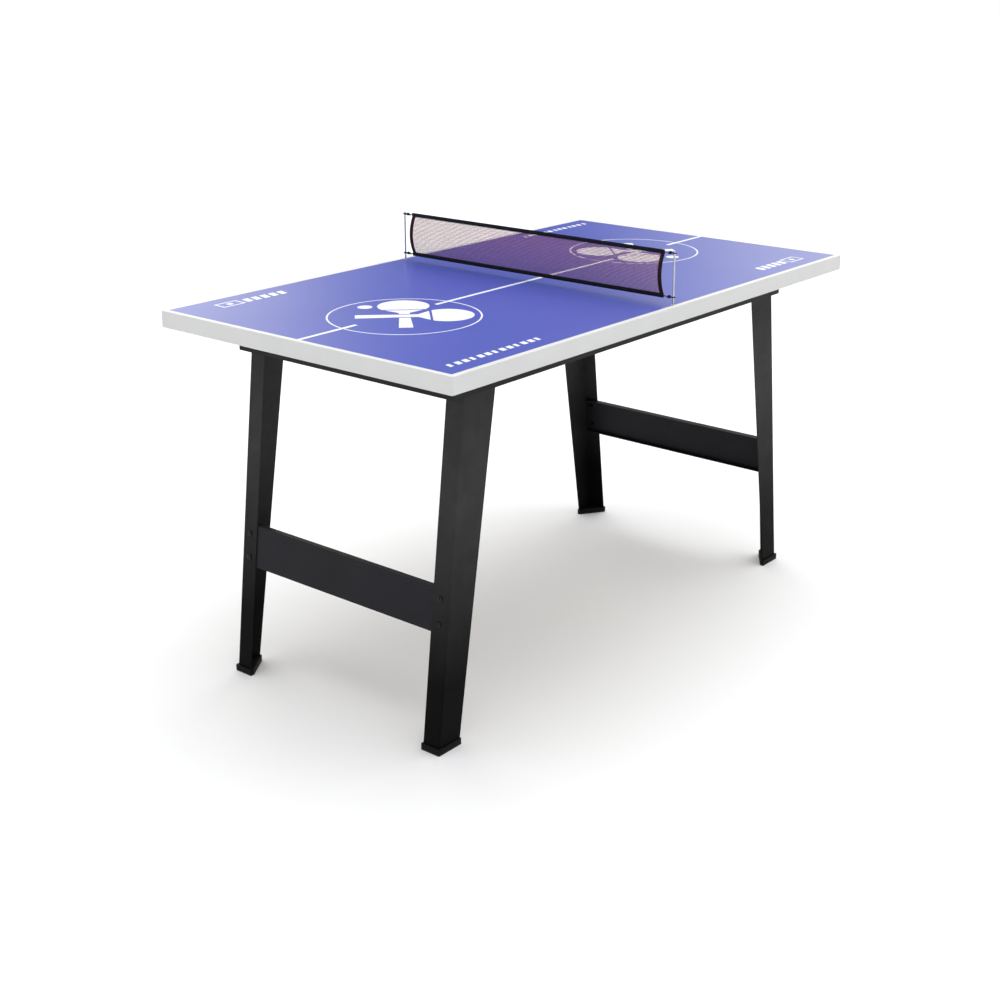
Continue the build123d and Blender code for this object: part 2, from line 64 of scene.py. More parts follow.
class Graph:
    """A material's node tree, with short names for the nodes that are used here."""

    def __init__(self, name):
        self.material = bpy.data.materials.new(name)
        self.material.use_nodes = True
        self.tree = self.material.node_tree
        self.shader = self.tree.nodes["Principled BSDF"]
        self.here = self.node("ShaderNodeTexCoord").outputs["Object"]

    def node(self, kind, **settings):
        made = self.tree.nodes.new(kind)
        for key, value in settings.items():
            setattr(made, key, value)
        return made

    def feed(self, socket, value):
        """Links an output to a socket, or sets the socket's own value."""
        if isinstance(value, bpy.types.NodeSocket):
            self.tree.links.new(value, socket)
        elif isinstance(value, tuple) and len(value) == 3 and socket.type == "RGBA":
            socket.default_value = (*value, 1.0)
        else:
            socket.default_value = value

    def set(self, **values):
        """Feeds the shader's sockets, named with underscores for spaces."""
        for key, value in values.items():
            self.feed(self.shader.inputs[key.replace("_", " ")], value)

    def stretched(self, *scale):
        mapping = self.node("ShaderNodeMapping")
        self.feed(mapping.inputs["Vector"], self.here)
        mapping.inputs["Scale"].default_value = scale
        return mapping.outputs["Vector"]

    def noise(self, scale, detail=3.0, place=None, distortion=0.0):
        made = self.node("ShaderNodeTexNoise")
        self.feed(made.inputs["Vector"], place or self.here)
        made.inputs["Scale"].default_value = scale
        made.inputs["Detail"].default_value = detail
        made.inputs["Distortion"].default_value = distortion
        return made.outputs["Fac"]

    def cells(self, scale):
        made = self.node("ShaderNodeTexVoronoi")
        self.feed(made.inputs["Vector"], self.here)
        made.inputs["Scale"].default_value = scale
        return made.outputs["Distance"]

    def bands(self, period, direction, place=None, distortion=0.0):
        """Soft stripes that repeat at a period in metres."""
        made = self.node("ShaderNodeTexWave", bands_direction=direction)
        self.feed(made.inputs["Vector"], place or self.here)
        made.inputs["Scale"].default_value = math.pi / 10 / period
        made.inputs["Distortion"].default_value = distortion
        return made.outputs["Fac"]

    def spread(self, value, low, high, start=0.3, end=0.7):
        """Maps a value between start and end to one between low and high, and holds it there."""
        made = self.node("ShaderNodeMapRange")
        for socket, number in zip(made.inputs, (value, start, end, low, high)):
            self.feed(socket, number)
        return made.outputs["Result"]

    def mix(self, share, first, second):
        """Blends two colours: a Mix node's colours are its inputs 6 and 7 and its output 2."""
        made = self.node("ShaderNodeMix", data_type="RGBA")
        self.feed(made.inputs[0], share)
        self.feed(made.inputs[6], first)
        self.feed(made.inputs[7], second)
        return made.outputs[2]

    def maths(self, operation, first, second=0.0):
        made = self.node("ShaderNodeMath", operation=operation)
        self.feed(made.inputs[0], first)
        self.feed(made.inputs[1], second)
        return made.outputs["Value"]

    def axes(self, vector):
        made = self.node("ShaderNodeSeparateXYZ")
        self.feed(made.inputs["Vector"], vector)
        return made.outputs

    def bump(self, height, depth, under=None):
        """Raises the surface by up to a depth in metres, over another bump if one is given."""
        made = self.node("ShaderNodeBump")
        made.inputs["Distance"].default_value = depth
        self.feed(made.inputs["Height"], height)
        if under is not None:
            self.feed(made.inputs["Normal"], under)
        return made.outputs["Normal"]


# ---- Materials ---------------------------------------------------------------------------

MITRE_LINE = 0.15 * MM
# Painted light: a lighter grey mixed into the legs' coat towards their tops, standing in for the
# light they catch there.
PAINTED_TOP_LIGHT = (0.046, 0.046, 0.047)
FLOOR_DUST = (0.07, 0.066, 0.060)
TAPE_THREAD = 0.55 * MM


def playing_surface():
    """Blue printed coating on top, with a fine orange peel, and raw fibreboard below."""
    g = Graph("playing_surface")
    cloud = g.spread(g.noise(4.0), 0.0, 1.0)
    blue = g.mix(cloud, (0.052, 0.076, 0.410), (0.056, 0.082, 0.425))
    speck = g.spread(g.noise(1300.0, detail=1.0), 0.0, 0.12, start=0.5, end=0.8)
    blue = g.mix(speck, blue, (0.09, 0.12, 0.50))
    fibre = g.spread(g.noise(420.0, detail=6.0, distortion=0.8), 0.0, 1.0)
    board = g.mix(fibre, (0.20, 0.125, 0.065), (0.36, 0.25, 0.145))
    facing = g.axes(g.node("ShaderNodeNewGeometry").outputs["Normal"])["Z"]
    is_top = g.maths("GREATER_THAN", facing, 0.5)
    g.set(Base_Color=g.mix(is_top, board, blue))
    coated = g.spread(g.noise(3.0), 0.295, 0.315)
    g.set(Roughness=g.maths("MAXIMUM", coated, g.spread(is_top, 0.85, 0.0, 0.0, 1.0)))
    peel = g.bump(g.noise(170.0, detail=2.0), 0.02 * MM)
    g.set(Normal=g.bump(g.noise(1500.0, detail=2.0), 0.012 * MM, under=peel))
    return g.material


def edge_foil():
    """White foil with a fine emboss, hairline mitres and a little grime towards its lower edge."""
    g = Graph("white_edge_foil")
    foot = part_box("edge_board_front")[0].z
    white = g.mix(g.spread(g.noise(11.0), 0.0, 1.0), (0.625, 0.625, 0.625), (0.650, 0.650, 0.650))
    place = g.axes(g.here)
    near_foot = g.spread(place["Z"], 0.5, 0.0, foot, foot + 14 * MM)
    grime = g.maths("MULTIPLY", near_foot, g.spread(g.noise(55.0, detail=6.0), 0.0, 0.5))
    white = g.mix(grime, white, (0.54, 0.535, 0.52))
    past_end = g.maths("SUBTRACT", g.maths("ABSOLUTE", place["X"]), panel_high.x)
    past_side = g.maths("SUBTRACT", g.maths("ABSOLUTE", place["Y"]), panel_high.y)
    off_mitre = g.maths("ABSOLUTE", g.maths("SUBTRACT", past_end, past_side))
    joint = g.maths("LESS_THAN", off_mitre, MITRE_LINE)
    g.set(Base_Color=g.mix(joint, white, (0.46, 0.455, 0.44)))
    g.set(Roughness=g.spread(g.noise(28.0, detail=4.0), 0.33, 0.45))
    emboss = g.bump(g.noise(520.0, detail=3.0), 0.03 * MM)
    g.set(Normal=g.bump(g.noise(60.0), 0.05 * MM, under=emboss))
    return g.material


def pine():
    """Raw softwood: growth rings, fine fibres along the grain and a fuzzy sawn face."""
    g = Graph("raw_pine")
    along = g.stretched(1.0, 6.0, 6.0)
    rings = g.bands(26 * MM, "Y", place=along, distortion=3.5)
    fibres = g.noise(240.0, detail=5.0, place=g.stretched(0.12, 1.0, 1.0))
    wood = g.mix(rings, (0.66, 0.46, 0.27), (0.50, 0.30, 0.15))
    g.set(Base_Color=g.mix(g.spread(fibres, 0.0, 0.45), wood, (0.78, 0.60, 0.40)))
    g.set(Roughness=g.spread(fibres, 0.62, 0.82))
    g.set(Normal=g.bump(fibres, 0.15 * MM))
    return g.material


def powder_coat(name, dark, light, shine, painted_light_span=None):
    """Satin powder coat: orange peel, a pebbly grain and, when a span is given, painted light that
    greys it towards the top.
    """
    g = Graph(name)
    coat = g.mix(g.spread(g.noise(7.0), 0.0, 1.0), dark, light)
    # Painted light: the coat turns towards a lighter grey with height, standing in for the light on
    # the upper parts.
    if painted_light_span is not None:
        painted_light_share = g.spread(g.axes(g.here)["Z"], 0.0, 1.0, *painted_light_span)
        uneven = g.spread(g.noise(30.0, detail=4.0), 0.8, 1.0)
        coat = g.mix(g.maths("MULTIPLY", painted_light_share, uneven), coat, PAINTED_TOP_LIGHT)
    g.set(Base_Color=coat, Specular_IOR_Level=shine)
    g.set(Roughness=g.spread(g.noise(21.0, detail=4.0), 0.42, 0.50))
    peel = g.bump(g.noise(330.0, detail=2.0), 0.05 * MM)
    g.set(Normal=g.bump(g.cells(1250.0), 0.025 * MM, under=peel))
    return g.material


def moulded_plastic(name, dark, light, roughness, grain_depth, shine, dusty=False):
    """Moulded plastic with a spark-eroded grain, and dust where it meets the floor."""
    g = Graph(name)
    colour = g.mix(g.spread(g.noise(30.0), 0.0, 1.0), dark, light)
    if dusty:
        level = g.axes(g.here)["Z"]
        dust = g.maths(
            "MULTIPLY",
            g.spread(level, 0.55, 0.0, 0.0, 5 * MM),
            g.spread(g.noise(260.0, detail=6.0), 0.0, 1.0),
        )
        colour = g.mix(dust, colour, FLOOR_DUST)
    g.set(Base_Color=colour, Specular_IOR_Level=shine)
    g.set(Roughness=g.spread(g.noise(80.0, detail=4.0), roughness - 0.06, roughness + 0.06))
    g.set(Normal=g.bump(g.cells(1700.0), grain_depth))
    return g.material


def plated_metal(name, dark, light, roughness, streaks, depth):
    """Bare or plated metal with drawing or tumbling marks and uneven brightness."""
    g = Graph(name)
    marks = g.noise(1.0, detail=5.0, place=g.stretched(*streaks))
    stain = g.spread(g.noise(130.0, detail=5.0), 0.0, 1.0)
    g.set(Base_Color=g.mix(stain, dark, light))
    g.set(Metallic=1.0)
    g.set(Roughness=g.spread(marks, roughness - 0.07, roughness + 0.10))
    g.set(Normal=g.bump(marks, depth))
    return g.material


def woven_tape(name, warp, weft, axes):
    """Flat woven tape: two crossing sets of threads, a fuzzy surface and worn lighter patches."""
    g = Graph(name)
    across = g.bands(TAPE_THREAD, axes[0])
    along = g.bands(TAPE_THREAD, axes[1])
    over = g.maths("ABSOLUTE", g.maths("SUBTRACT", across, along))
    faded = g.spread(g.noise(60.0, detail=5.0), 0.0, 0.5)
    colour = g.mix(over, warp, weft)
    fade = tuple(1.6 * part + 0.001 for part in weft)
    g.set(Base_Color=g.mix(faded, colour, fade))
    g.set(Roughness=g.spread(g.noise(300.0), 0.72, 0.92))
    g.set(Specular_IOR_Level=0.16, Sheen_Weight=0.04, Sheen_Roughness=0.5)
    fuzz = g.bump(g.noise(3800.0, detail=3.0), 0.03 * MM)
    g.set(Normal=g.bump(over, 0.12 * MM, under=fuzz))
    return g.material


def yarn(name, dark, light, roughness):
    """Spun nylon yarn, with fine fibres lying across it and uneven dye."""
    g = Graph(name)
    dye = g.spread(g.noise(190.0, detail=4.0), 0.0, 1.0)
    fibres = g.noise(5200.0, detail=3.0, distortion=0.5)
    g.set(Base_Color=g.mix(dye, dark, light))
    g.set(Roughness=g.spread(fibres, roughness - 0.1, roughness + 0.1))
    g.set(Specular_IOR_Level=0.3)
    g.set(Normal=g.bump(fibres, 0.06 * MM))
    return g.material


def printed_ink():
    """White screen ink with pinholes where the blue shows faintly through."""
    g = Graph("white_ink")
    cover = g.mix(g.spread(g.noise(16.0), 0.0, 1.0), (0.70, 0.72, 0.80), (0.76, 0.78, 0.84))
    pinholes = g.spread(g.noise(900.0, detail=2.0), 0.0, 0.5, start=0.66, end=0.74)
    g.set(Base_Color=g.mix(pinholes, cover, (0.30, 0.34, 0.66)))
    g.set(Roughness=g.spread(g.noise(60.0, detail=4.0), 0.34, 0.44))
    g.set(Normal=g.bump(g.noise(1100.0, detail=2.0), 0.012 * MM))
    return g.material


def studio_floor():
    """A pale, dull floor with the faintest unevenness."""
    g = Graph("studio_floor")
    g.set(Base_Color=g.mix(g.noise(1.5), (0.806, 0.812, 0.840), (0.820, 0.826, 0.832)))
    g.set(Roughness=g.spread(g.noise(40.0), 0.88, 0.95))
    g.set(Specular_IOR_Level=0.0)
    return g.material


# ---- Mesh building -----------------------------------------------------------------------

class Shape:
    """Points and faces gathered for one piece."""

    def __init__(self):
        self.points = []
        self.faces = []

    def add(self, points, faces):
        start = len(self.points)
        self.points += [tuple(point) for point in points]
        self.faces += [tuple(start + i for i in face) for face in faces]

    def skin(self, rings):
        """A closed skin through rings of equally many points, with a flat face at each end."""
        count = len(rings[0])
        points = [point for ring in rings for point in ring]
        faces = [tuple(reversed(range(count)))]
        for row in range(len(rings) - 1):
            for i in range(count):
                j = (i + 1) % count
                low, high = row * count, (row + 1) * count
                faces.append((low + i, low + j, high + j, high + i))
        last = (len(rings) - 1) * count
        faces.append(tuple(range(last, last + count)))
        self.add(points, faces)

    def plate(self, outline, low, high):
        """A flat plate over an anticlockwise outline in plan, from a low to a high level."""
        rings = [[(x, y, level) for x, y in outline] for level in (low, high)]
        self.skin(rings)

    def hoop(self, centre, inner, outer, low, high, steps=96):
        """A flat ring in plan."""
        corners = ((outer, low), (outer, high), (inner, high), (inner, low))
        points, faces = [], []
        for step in range(steps):
            angle = 2 * math.pi * step / steps
            for radius, level in corners:
                x = centre[0] + radius * math.cos(angle)
                y = centre[1] + radius * math.sin(angle)
                points.append((x, y, level))
            for i in range(4):
                j = (i + 1) % 4
                here, there = 4 * step, 4 * ((step + 1) % steps)
                faces.append((here + i, there + i, there + j, here + j))
        self.add(points, faces)

    def make(self, name, material, body, slot, smooth=True):
        mesh = bpy.data.meshes.new(name)
        mesh.from_pydata(self.points, [], self.faces)
        mesh.materials.append(material)
        mesh.validate()
        mesh.update()
        if smooth:
            mesh.shade_smooth()
            mesh.set_sharp_from_angle(angle=math.radians(50))
        piece = bpy.data.objects.new(name, mesh)
        bpy.context.scene.collection.objects.link(piece)
        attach(piece, body)
        return piece


def frames_along(path):
    """A tangent and two steady cross directions at each point of a path."""
    frames = []
    side = None
    for i, point in enumerate(path):
        before, after = path[max(i - 1, 0)], path[min(i + 1, len(path) - 1)]
        tangent = (after - before).normalized()
        if side is None:
            side = tangent.orthogonal().normalized()
        side = (side - tangent * side.dot(tangent)).normalized()
        frames.append((point, side, tangent.cross(side)))
    return frames


def even_path(points, step):
    """Points at even steps along a smooth curve through given points."""
    parts = 12
    dense = []
    padded = [points[0], *points, points[-1]]
    for a, b, c, d in zip(padded, padded[1:], padded[2:], padded[3:]):
        for i in range(parts):
            t = i / parts
            dense.append(
                0.5 * (2 * b + (c - a) * t + (2 * a - 5 * b + 4 * c - d) * t**2
                       + (3 * b - a - 3 * c + d) * t**3)
            )
    dense.append(points[-1])
    path, left = [dense[0]], step
    for start, end in zip(dense, dense[1:]):
        length = (end - start).length
        while length > 0 and left <= length:
            start = start + (end - start) * (left / length)
            path.append(start)
            length = (end - start).length
            left = step
        left -= length
    return path


STRAND_SHARE = 0.52
STEPS_PER_LAY = 8


def twist_rope(shape, points, radius, strands=3, lay=3.2 * MM, sides=6):
    """A rope of twisted strands along a path."""
    strand_radius = radius * STRAND_SHARE
    offset = radius - strand_radius
    step = lay / STEPS_PER_LAY
    frames = frames_along(even_path(points, step))
    for strand in range(strands):
        rings = []
        for i, (point, side, other) in enumerate(frames):
            turn = 2 * math.pi * (i * step / lay + strand / strands)
            centre = point + (side * math.cos(turn) + other * math.sin(turn)) * offset
            angles = [2 * math.pi * k / sides for k in range(sides)]
            rings.append([
                centre + (side * math.cos(angle) + other * math.sin(angle)) * strand_radius
                for angle in angles
            ])
        shape.skin(rings)


# ---- Printed marks -----------------------------------------------------------------------

# Ink starts just under the surface, and crossing marks lie at slightly different heights.
INK_SUNK = 0.05 * MM
INK_PROUD = 0.12 * MM
INK_LAYER = 0.03 * MM

CENTRE_LINE_WIDTH = 9 * MM

EMBLEM_PLACE = (-415 * MM, -20 * MM)
EMBLEM_RING_RADIUS = 150 * MM
EMBLEM_RING_WIDTH = 3.5 * MM
EMBLEM_CLEAR_RADIUS = 112 * MM
BLADE_RADIUS = 52 * MM
BLADE_REACH = 84 * MM
BLADE_CHORD = 30 * MM
THROAT_LENGTH = 6 * MM
THROAT_HALF = 0.72 * BLADE_RADIUS
HANDLE_HALF = 11 * MM
HANDLE_FLARE_HALF = 1.25 * HANDLE_HALF
HANDLE_END = -96 * MM
PADDLE_GAP = 5 * MM
PADDLE_LEAN = math.radians(45)
BALL_PLACE = (4 * MM, 112 * MM)
BALL_RADIUS = 15 * MM

BADGE_PLACE = (-590 * MM, 320 * MM)
BADGE_WIDTH = 56 * MM
BADGE_HEIGHT = 34 * MM
BADGE_LINE = 4 * MM
BADGE_DOT_RADIUS = 7 * MM
BADGE_BARS = {"start": 64 * MM, "pitch": 23 * MM, "widths": [15 * MM] * 5,
              "height": 26 * MM, "slant": 6 * MM}

STRIP_PLACE = (-640 * MM, -331 * MM)
STRIP_BARS = {"start": 0.0, "pitch": 20 * MM,
              "widths": [(13 if i % 3 else 9) * MM for i in range(13)],
              "height": 16 * MM, "slant": 4 * MM}


def ink_levels(layer):
    return surface_level - INK_SUNK, surface_level + INK_PROUD + layer * INK_LAYER


def placed(outline, place, angle=0.0):
    """An outline turned about its own origin and then moved."""
    c, s = math.cos(angle), math.sin(angle)
    return [(place[0] + c * x - s * y, place[1] + s * x + c * y) for x, y in outline]


def arc_points(radius, start, end, steps, centre=(0.0, 0.0)):
    points = []
    for i in range(steps + 1):
        angle = start + (end - start) * i / steps
        points.append((centre[0] + radius * math.cos(angle), centre[1] + radius * math.sin(angle)))
    return points


def disc(radius, count, centre):
    """A circle's outline as a number of points."""
    return arc_points(radius, 0.0, 2 * math.pi * (count - 1) / count, count - 1, centre)


def rectangle(left, bottom, right, top):
    return [(left, bottom), (right, bottom), (right, top), (left, top)]


def seat_at_end(end, place):
    """A mark's place, and its turn so that it reads from its own end of the table."""
    return tuple(-end * part for part in place), 0.0 if end < 0 else math.pi


def leaning_bars(shape, place, turn, start, pitch, widths, height, slant):
    """A row of bars of the given widths, each leaning forwards by a slant."""
    foot, top = -height / 2, height / 2
    for i, width in enumerate(widths):
        x = start + i * pitch
        bar = [(x, foot), (x + width, foot), (x + width + slant, top), (x + slant, top)]
        shape.plate(placed(bar, place, turn), *ink_levels(0))


def printed(name, shape):
    return shape.make(name, ink, "table", "white_edge", smooth=False)


def centre_line():
    """The line along the table, left open where the emblems are printed."""
    shape = Shape()
    low, high = ink_levels(0)
    half = CENTRE_LINE_WIDTH / 2
    end = panel_high.x
    near = -EMBLEM_PLACE[0] + EMBLEM_CLEAR_RADIUS
    far = -EMBLEM_PLACE[0] - EMBLEM_CLEAR_RADIUS
    for start, stop in ((-end, -near), (-far, far), (near, end)):
        shape.plate(rectangle(start, -half, stop, half), low, high)
    printed("printed_centre_line", shape)


def paddle_mark(shape, place, heading, crossed_by=0.0):
    """A paddle in outline from above. Its handle has a gap where another one crosses over it."""
    levels = ink_levels(1)
    cut = math.acos(-BLADE_CHORD / BLADE_RADIUS)
    blade = arc_points(BLADE_RADIUS, -cut, cut, 40, centre=(BLADE_REACH, 0.0))
    throat_start = BLADE_REACH - BLADE_CHORD - PADDLE_GAP
    neck = BLADE_REACH - BLADE_RADIUS - THROAT_LENGTH
    throat = [
        (crossed_by, -HANDLE_HALF),
        (neck, -HANDLE_HALF),
        (throat_start, -THROAT_HALF),
        (throat_start, THROAT_HALF),
        (neck, HANDLE_HALF),
        (crossed_by, HANDLE_HALF),
    ]
    grip = [
        (HANDLE_END, -HANDLE_FLARE_HALF),
        (-crossed_by, -HANDLE_HALF),
        (-crossed_by, HANDLE_HALF),
        (HANDLE_END, HANDLE_FLARE_HALF),
    ]
    for outline in (blade, throat, grip):
        shape.plate(placed(outline, place, heading), *levels)


def emblem(name, end):
    """A ring with two crossed paddles and a ball, reading from its own end of the table."""
    shape = Shape()
    place, turn = seat_at_end(end, EMBLEM_PLACE)
    levels = ink_levels(1)
    half = EMBLEM_RING_WIDTH / 2
    shape.hoop(place, EMBLEM_RING_RADIUS - half, EMBLEM_RING_RADIUS + half, *levels)
    paddle_mark(shape, place, turn + PADDLE_LEAN, crossed_by=HANDLE_HALF + PADDLE_GAP)
    paddle_mark(shape, place, turn - PADDLE_LEAN)
    ball = placed([BALL_PLACE], place, turn)[0]
    shape.plate(disc(BALL_RADIUS, 36, ball), *levels)
    printed(name, shape)


def badge(name, end):
    """A framed dot and a row of leaning bars, near one corner."""
    shape = Shape()
    place, turn = seat_at_end(end, BADGE_PLACE)
    half = BADGE_HEIGHT / 2
    rim = half - BADGE_LINE
    outlines = [
        rectangle(0, -half, BADGE_WIDTH, -rim),
        rectangle(0, rim, BADGE_WIDTH, half),
        rectangle(0, -rim, BADGE_LINE, rim),
        rectangle(BADGE_WIDTH - BADGE_LINE, -rim, BADGE_WIDTH, rim),
        disc(BADGE_DOT_RADIUS, 24, (BADGE_WIDTH / 2, 0.0)),
    ]
    for outline in outlines:
        shape.plate(placed(outline, place, turn), *ink_levels(0))
    leaning_bars(shape, place, turn, **BADGE_BARS)
    printed(name, shape)


def edge_strip(name, end):
    """A row of leaning dashes along the other edge."""
    shape = Shape()
    leaning_bars(shape, *seat_at_end(end, STRIP_PLACE), **STRIP_BARS)
    printed(name, shape)


# ---- Net ---------------------------------------------------------------------------------

NET_PITCH = 2.9 * MM
YARN_RADIUS = 0.49 * MM
KNOT_RADIUS = 0.76 * MM
KNOT_FLATNESS = 0.8
KNOT_SCATTER = 0.13  # millimetres
NET_RIPPLE = 0.35 * MM
NET_OVERLAP = 1.6 * MM
STITCH_PITCH = 3.4 * MM
STITCH_RADIUS = 0.2 * MM
# How far a stitch's middle lies above its tape, in its radii, at shares of its length.
STITCH_RISES = ((0.0, -0.6), (0.2, 0.55), (0.8, 0.55), (1.0, -0.6))
TAPE_FILL = 0.985
TAPE_PLY_HALF = 0.85 * MM
SIDE_HEM_HALF = 1.3 * MM

NET_WALL_HALF = 0.6 * MM

# The net's section is an arc between its tapes, bowed towards the front end.
bow = -mesh_low.x - NET_WALL_HALF
arc_low, arc_high = mesh_low.z, mesh_high.z
half_chord = (arc_high - arc_low) / 2
arc_radius = (half_chord**2 + bow**2) / (2 * bow)
arc_half_angle = math.asin(half_chord / arc_radius)
arc_length = 2 * arc_radius * arc_half_angle


def arc_point(share):
    """A point on the bowed net's section, from 0 at its foot to 1 at its top, and its normal."""
    angle = (2 * share - 1) * arc_half_angle
    centre = Vector((arc_radius - bow, 0.0, (arc_low + arc_high) / 2))
    normal = Vector((-math.cos(angle), 0.0, math.sin(angle)))
    return centre + normal * arc_radius, normal


def diamond(centre, first, second, radius):
    return [centre + first * radius, centre + second * radius,
            centre - first * radius, centre - second * radius]


def net_mesh():
    """Knotted yarn, one strand at a time, hanging in a slight bow between its tapes."""
    rng = random.Random(7)
    reach = mesh_high.y + NET_OVERLAP
    columns = round(2 * reach / NET_PITCH)
    over = NET_OVERLAP / arc_length
    rows = round(arc_length * (1 + 2 * over) / NET_PITCH)
    across = Vector((0.0, 1.0, 0.0))
    shares = [-over + (1 + 2 * over) * row / rows for row in range(rows + 1)]
    normals = [arc_point(share)[1] for share in shares]
    knots = []
    for row, share in enumerate(shares):
        point, normal = arc_point(share)
        line = []
        for column in range(columns + 1):
            y = -reach + 2 * reach * column / columns
            loose = 0.0 if row in (0, rows) or column in (0, columns) else 1.0
            scatter = Vector((0.0, rng.gauss(0, KNOT_SCATTER), rng.gauss(0, KNOT_SCATTER)))
            ripple = NET_RIPPLE * math.sin(y * 38.0 + 2.0 * share) * math.sin(math.pi * share)
            line.append(point + across * y + scatter * MM * loose + normal * ripple * loose)
        knots.append(line)
    shape = Shape()
    for upright_yarn in zip(*knots):
        shape.skin([
            diamond(point, normal, across, YARN_RADIUS)
            for point, normal in zip(upright_yarn, normals)
        ])
    for line, normal in zip(knots, normals):
        upright = normal.cross(across)
        shape.skin([diamond(point, normal, upright, YARN_RADIUS) for point in line])
    for line, normal in list(zip(knots, normals))[1:-1]:
        upright = normal.cross(across)
        for point in line[1:-1]:
            size = KNOT_RADIUS * rng.uniform(0.85, 1.15)
            thickness = normal * size * KNOT_FLATNESS
            add_knot(shape, point, thickness, across * size, upright * size)
    piece = shape.make("net_yarn_mesh", net_yarn, "net_set", "net_yarn")
    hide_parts("net_mesh")
    return piece


def add_knot(shape, point, a, b, c):
    """A small eight-sided knot where two strands meet."""
    corners = [point + a, point - a, point + b, point - b, point + c, point - c]
    faces = [
        (0, 2, 4), (2, 1, 4), (1, 3, 4), (3, 0, 4),
        (2, 0, 5), (1, 2, 5), (3, 1, 5), (0, 3, 5),
    ]
    shape.add(corners, faces)


def tape_profile(hem_half, ply_half, height):
    """A folded tape's half thickness at heights from its sewn edge to its fold.

    It is thickest round the cord in its middle, and pinched at both edges.
    """
    profile = []
    steps = 8
    cord_at, cord_spread, pinch = 0.52, 0.26, 0.55
    for i in range(steps + 1):
        v = i / steps
        bulge = math.exp(-(((v - cord_at) / cord_spread) ** 2))
        half = ply_half + (hem_half - ply_half) * bulge
        if i in (0, steps):
            half *= pinch
        profile.append((v * height, half))
    return profile


def tape_ring(profile, edge, up, across):
    """The closed section of a tape: up one face from its sewn edge and down the other."""
    front = [edge + up * height + across * half for height, half in profile]
    rear = [edge + up * height - across * half for height, half in reversed(profile)]
    return front + rear


def add_stitch(shape, start, end, out):
    """A short thread that lies on a tape and dips into it at both ends."""
    side = (end - start).normalized().cross(out)
    rings = []
    for share, rise in STITCH_RISES:
        centre = start.lerp(end, share) + out * rise * STITCH_RADIUS
        rings.append(diamond(centre, out, side, STITCH_RADIUS))
    shape.skin(rings)


def straight_tape(name, node, up_sign, material):
    """The folded tape along the net's top or bottom edge, with a row of stitches on each face."""
    rng = random.Random(11 if up_sign > 0 else 12)
    low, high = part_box(node)
    sewn_level = low.z if up_sign > 0 else high.z
    up = Vector((0.0, 0.0, float(up_sign)))
    across = Vector((1.0, 0.0, 0.0))
    hem_half = (high.x - low.x) / 2
    profile = tape_profile(hem_half * 0.97, TAPE_PLY_HALF, (high.z - low.z) * TAPE_FILL)
    phases = [rng.uniform(0, 6.28) for _ in range(3)]
    shape, thread = Shape(), Shape()
    stations = 240
    rings = []
    for i in range(stations + 1):
        y = low.y + (high.y - low.y) * i / stations
        wave = 0.12 * math.sin(y * 61 + phases[0]) + 0.08 * math.sin(y * 143 + phases[1])
        pucker = 1.0 + 0.05 * math.sin(y * 420 + phases[2])
        edge = Vector((wave * MM, y, sewn_level))
        end_fold = 0.86 if i in (0, stations) else 1.0
        section = [(height, half * pucker * end_fold) for height, half in profile]
        rings.append(tape_ring(section, edge, up, across))
    shape.skin(rings)
    piece = shape.make(name, material, "net_set", "black_tape")
    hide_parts(node)
    seam_height = (high.z - low.z) * 0.17
    seam_end = 3 * MM
    stitch = Vector((0.0, 0.72 * STITCH_PITCH, 0.0))
    count = round((high.y - low.y - 2 * seam_end) / STITCH_PITCH)
    for i in range(count):
        y = low.y + seam_end + i * STITCH_PITCH
        for face in (-1, 1):
            x = face * 0.98 * MM + 0.12 * MM * math.sin(y * 61 + phases[0])
            start = Vector((x, y, sewn_level)) + up * seam_height
            add_stitch(thread, start, start + stitch, across * face)
    stitches = thread.make(name + "_stitches", sewing_thread, "net_set", "black_tape")
    return [piece, stitches]


def side_tape(hand):
    """The narrow tape down one end of the net, which follows its bow."""
    side = HANDS[hand]
    node = f"net_side_tape_{hand}"
    low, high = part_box(node)
    inner = low.y if side > 0 else high.y
    width = (high.y - low.y) * TAPE_FILL
    up = Vector((0.0, float(side), 0.0))
    profile = tape_profile(SIDE_HEM_HALF, TAPE_PLY_HALF, width)
    shape, thread = Shape(), Shape()
    rings = []
    steps = 40
    spare = 0.012
    for i in range(steps + 1):
        point, normal = arc_point(-spare + (1 + 2 * spare) * i / steps)
        edge = Vector((point.x, inner, point.z))
        rings.append(tape_ring(profile, edge, up, normal))
    shape.skin(rings)
    piece = shape.make(f"net_side_hem_{hand}", maroon_tape, "net_set", "maroon_tape")
    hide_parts(node)
    count = int(arc_length / STITCH_PITCH)
    for i in range(count):
        for face in (-1, 1):
            start, normal = arc_point((i + 0.14) / count)
            end = arc_point((i + 0.86) / count)[0]
            shift = Vector((0.0, inner + side * width * 0.2, 0.0)) + normal * face * 0.95 * MM
            add_stitch(thread, start + shift, end + shift, normal * face)
    stitches = thread.make(f"net_side_stitches_{hand}", sewing_thread, "net_set", "maroon_tape")
    return [piece, stitches]


# The knot's coil: its points per turn, and its start and its advance per point along the cord.
COIL_STEPS = 7
COIL_START = 7.6 * MM
COIL_ADVANCE = 0.27 * MM


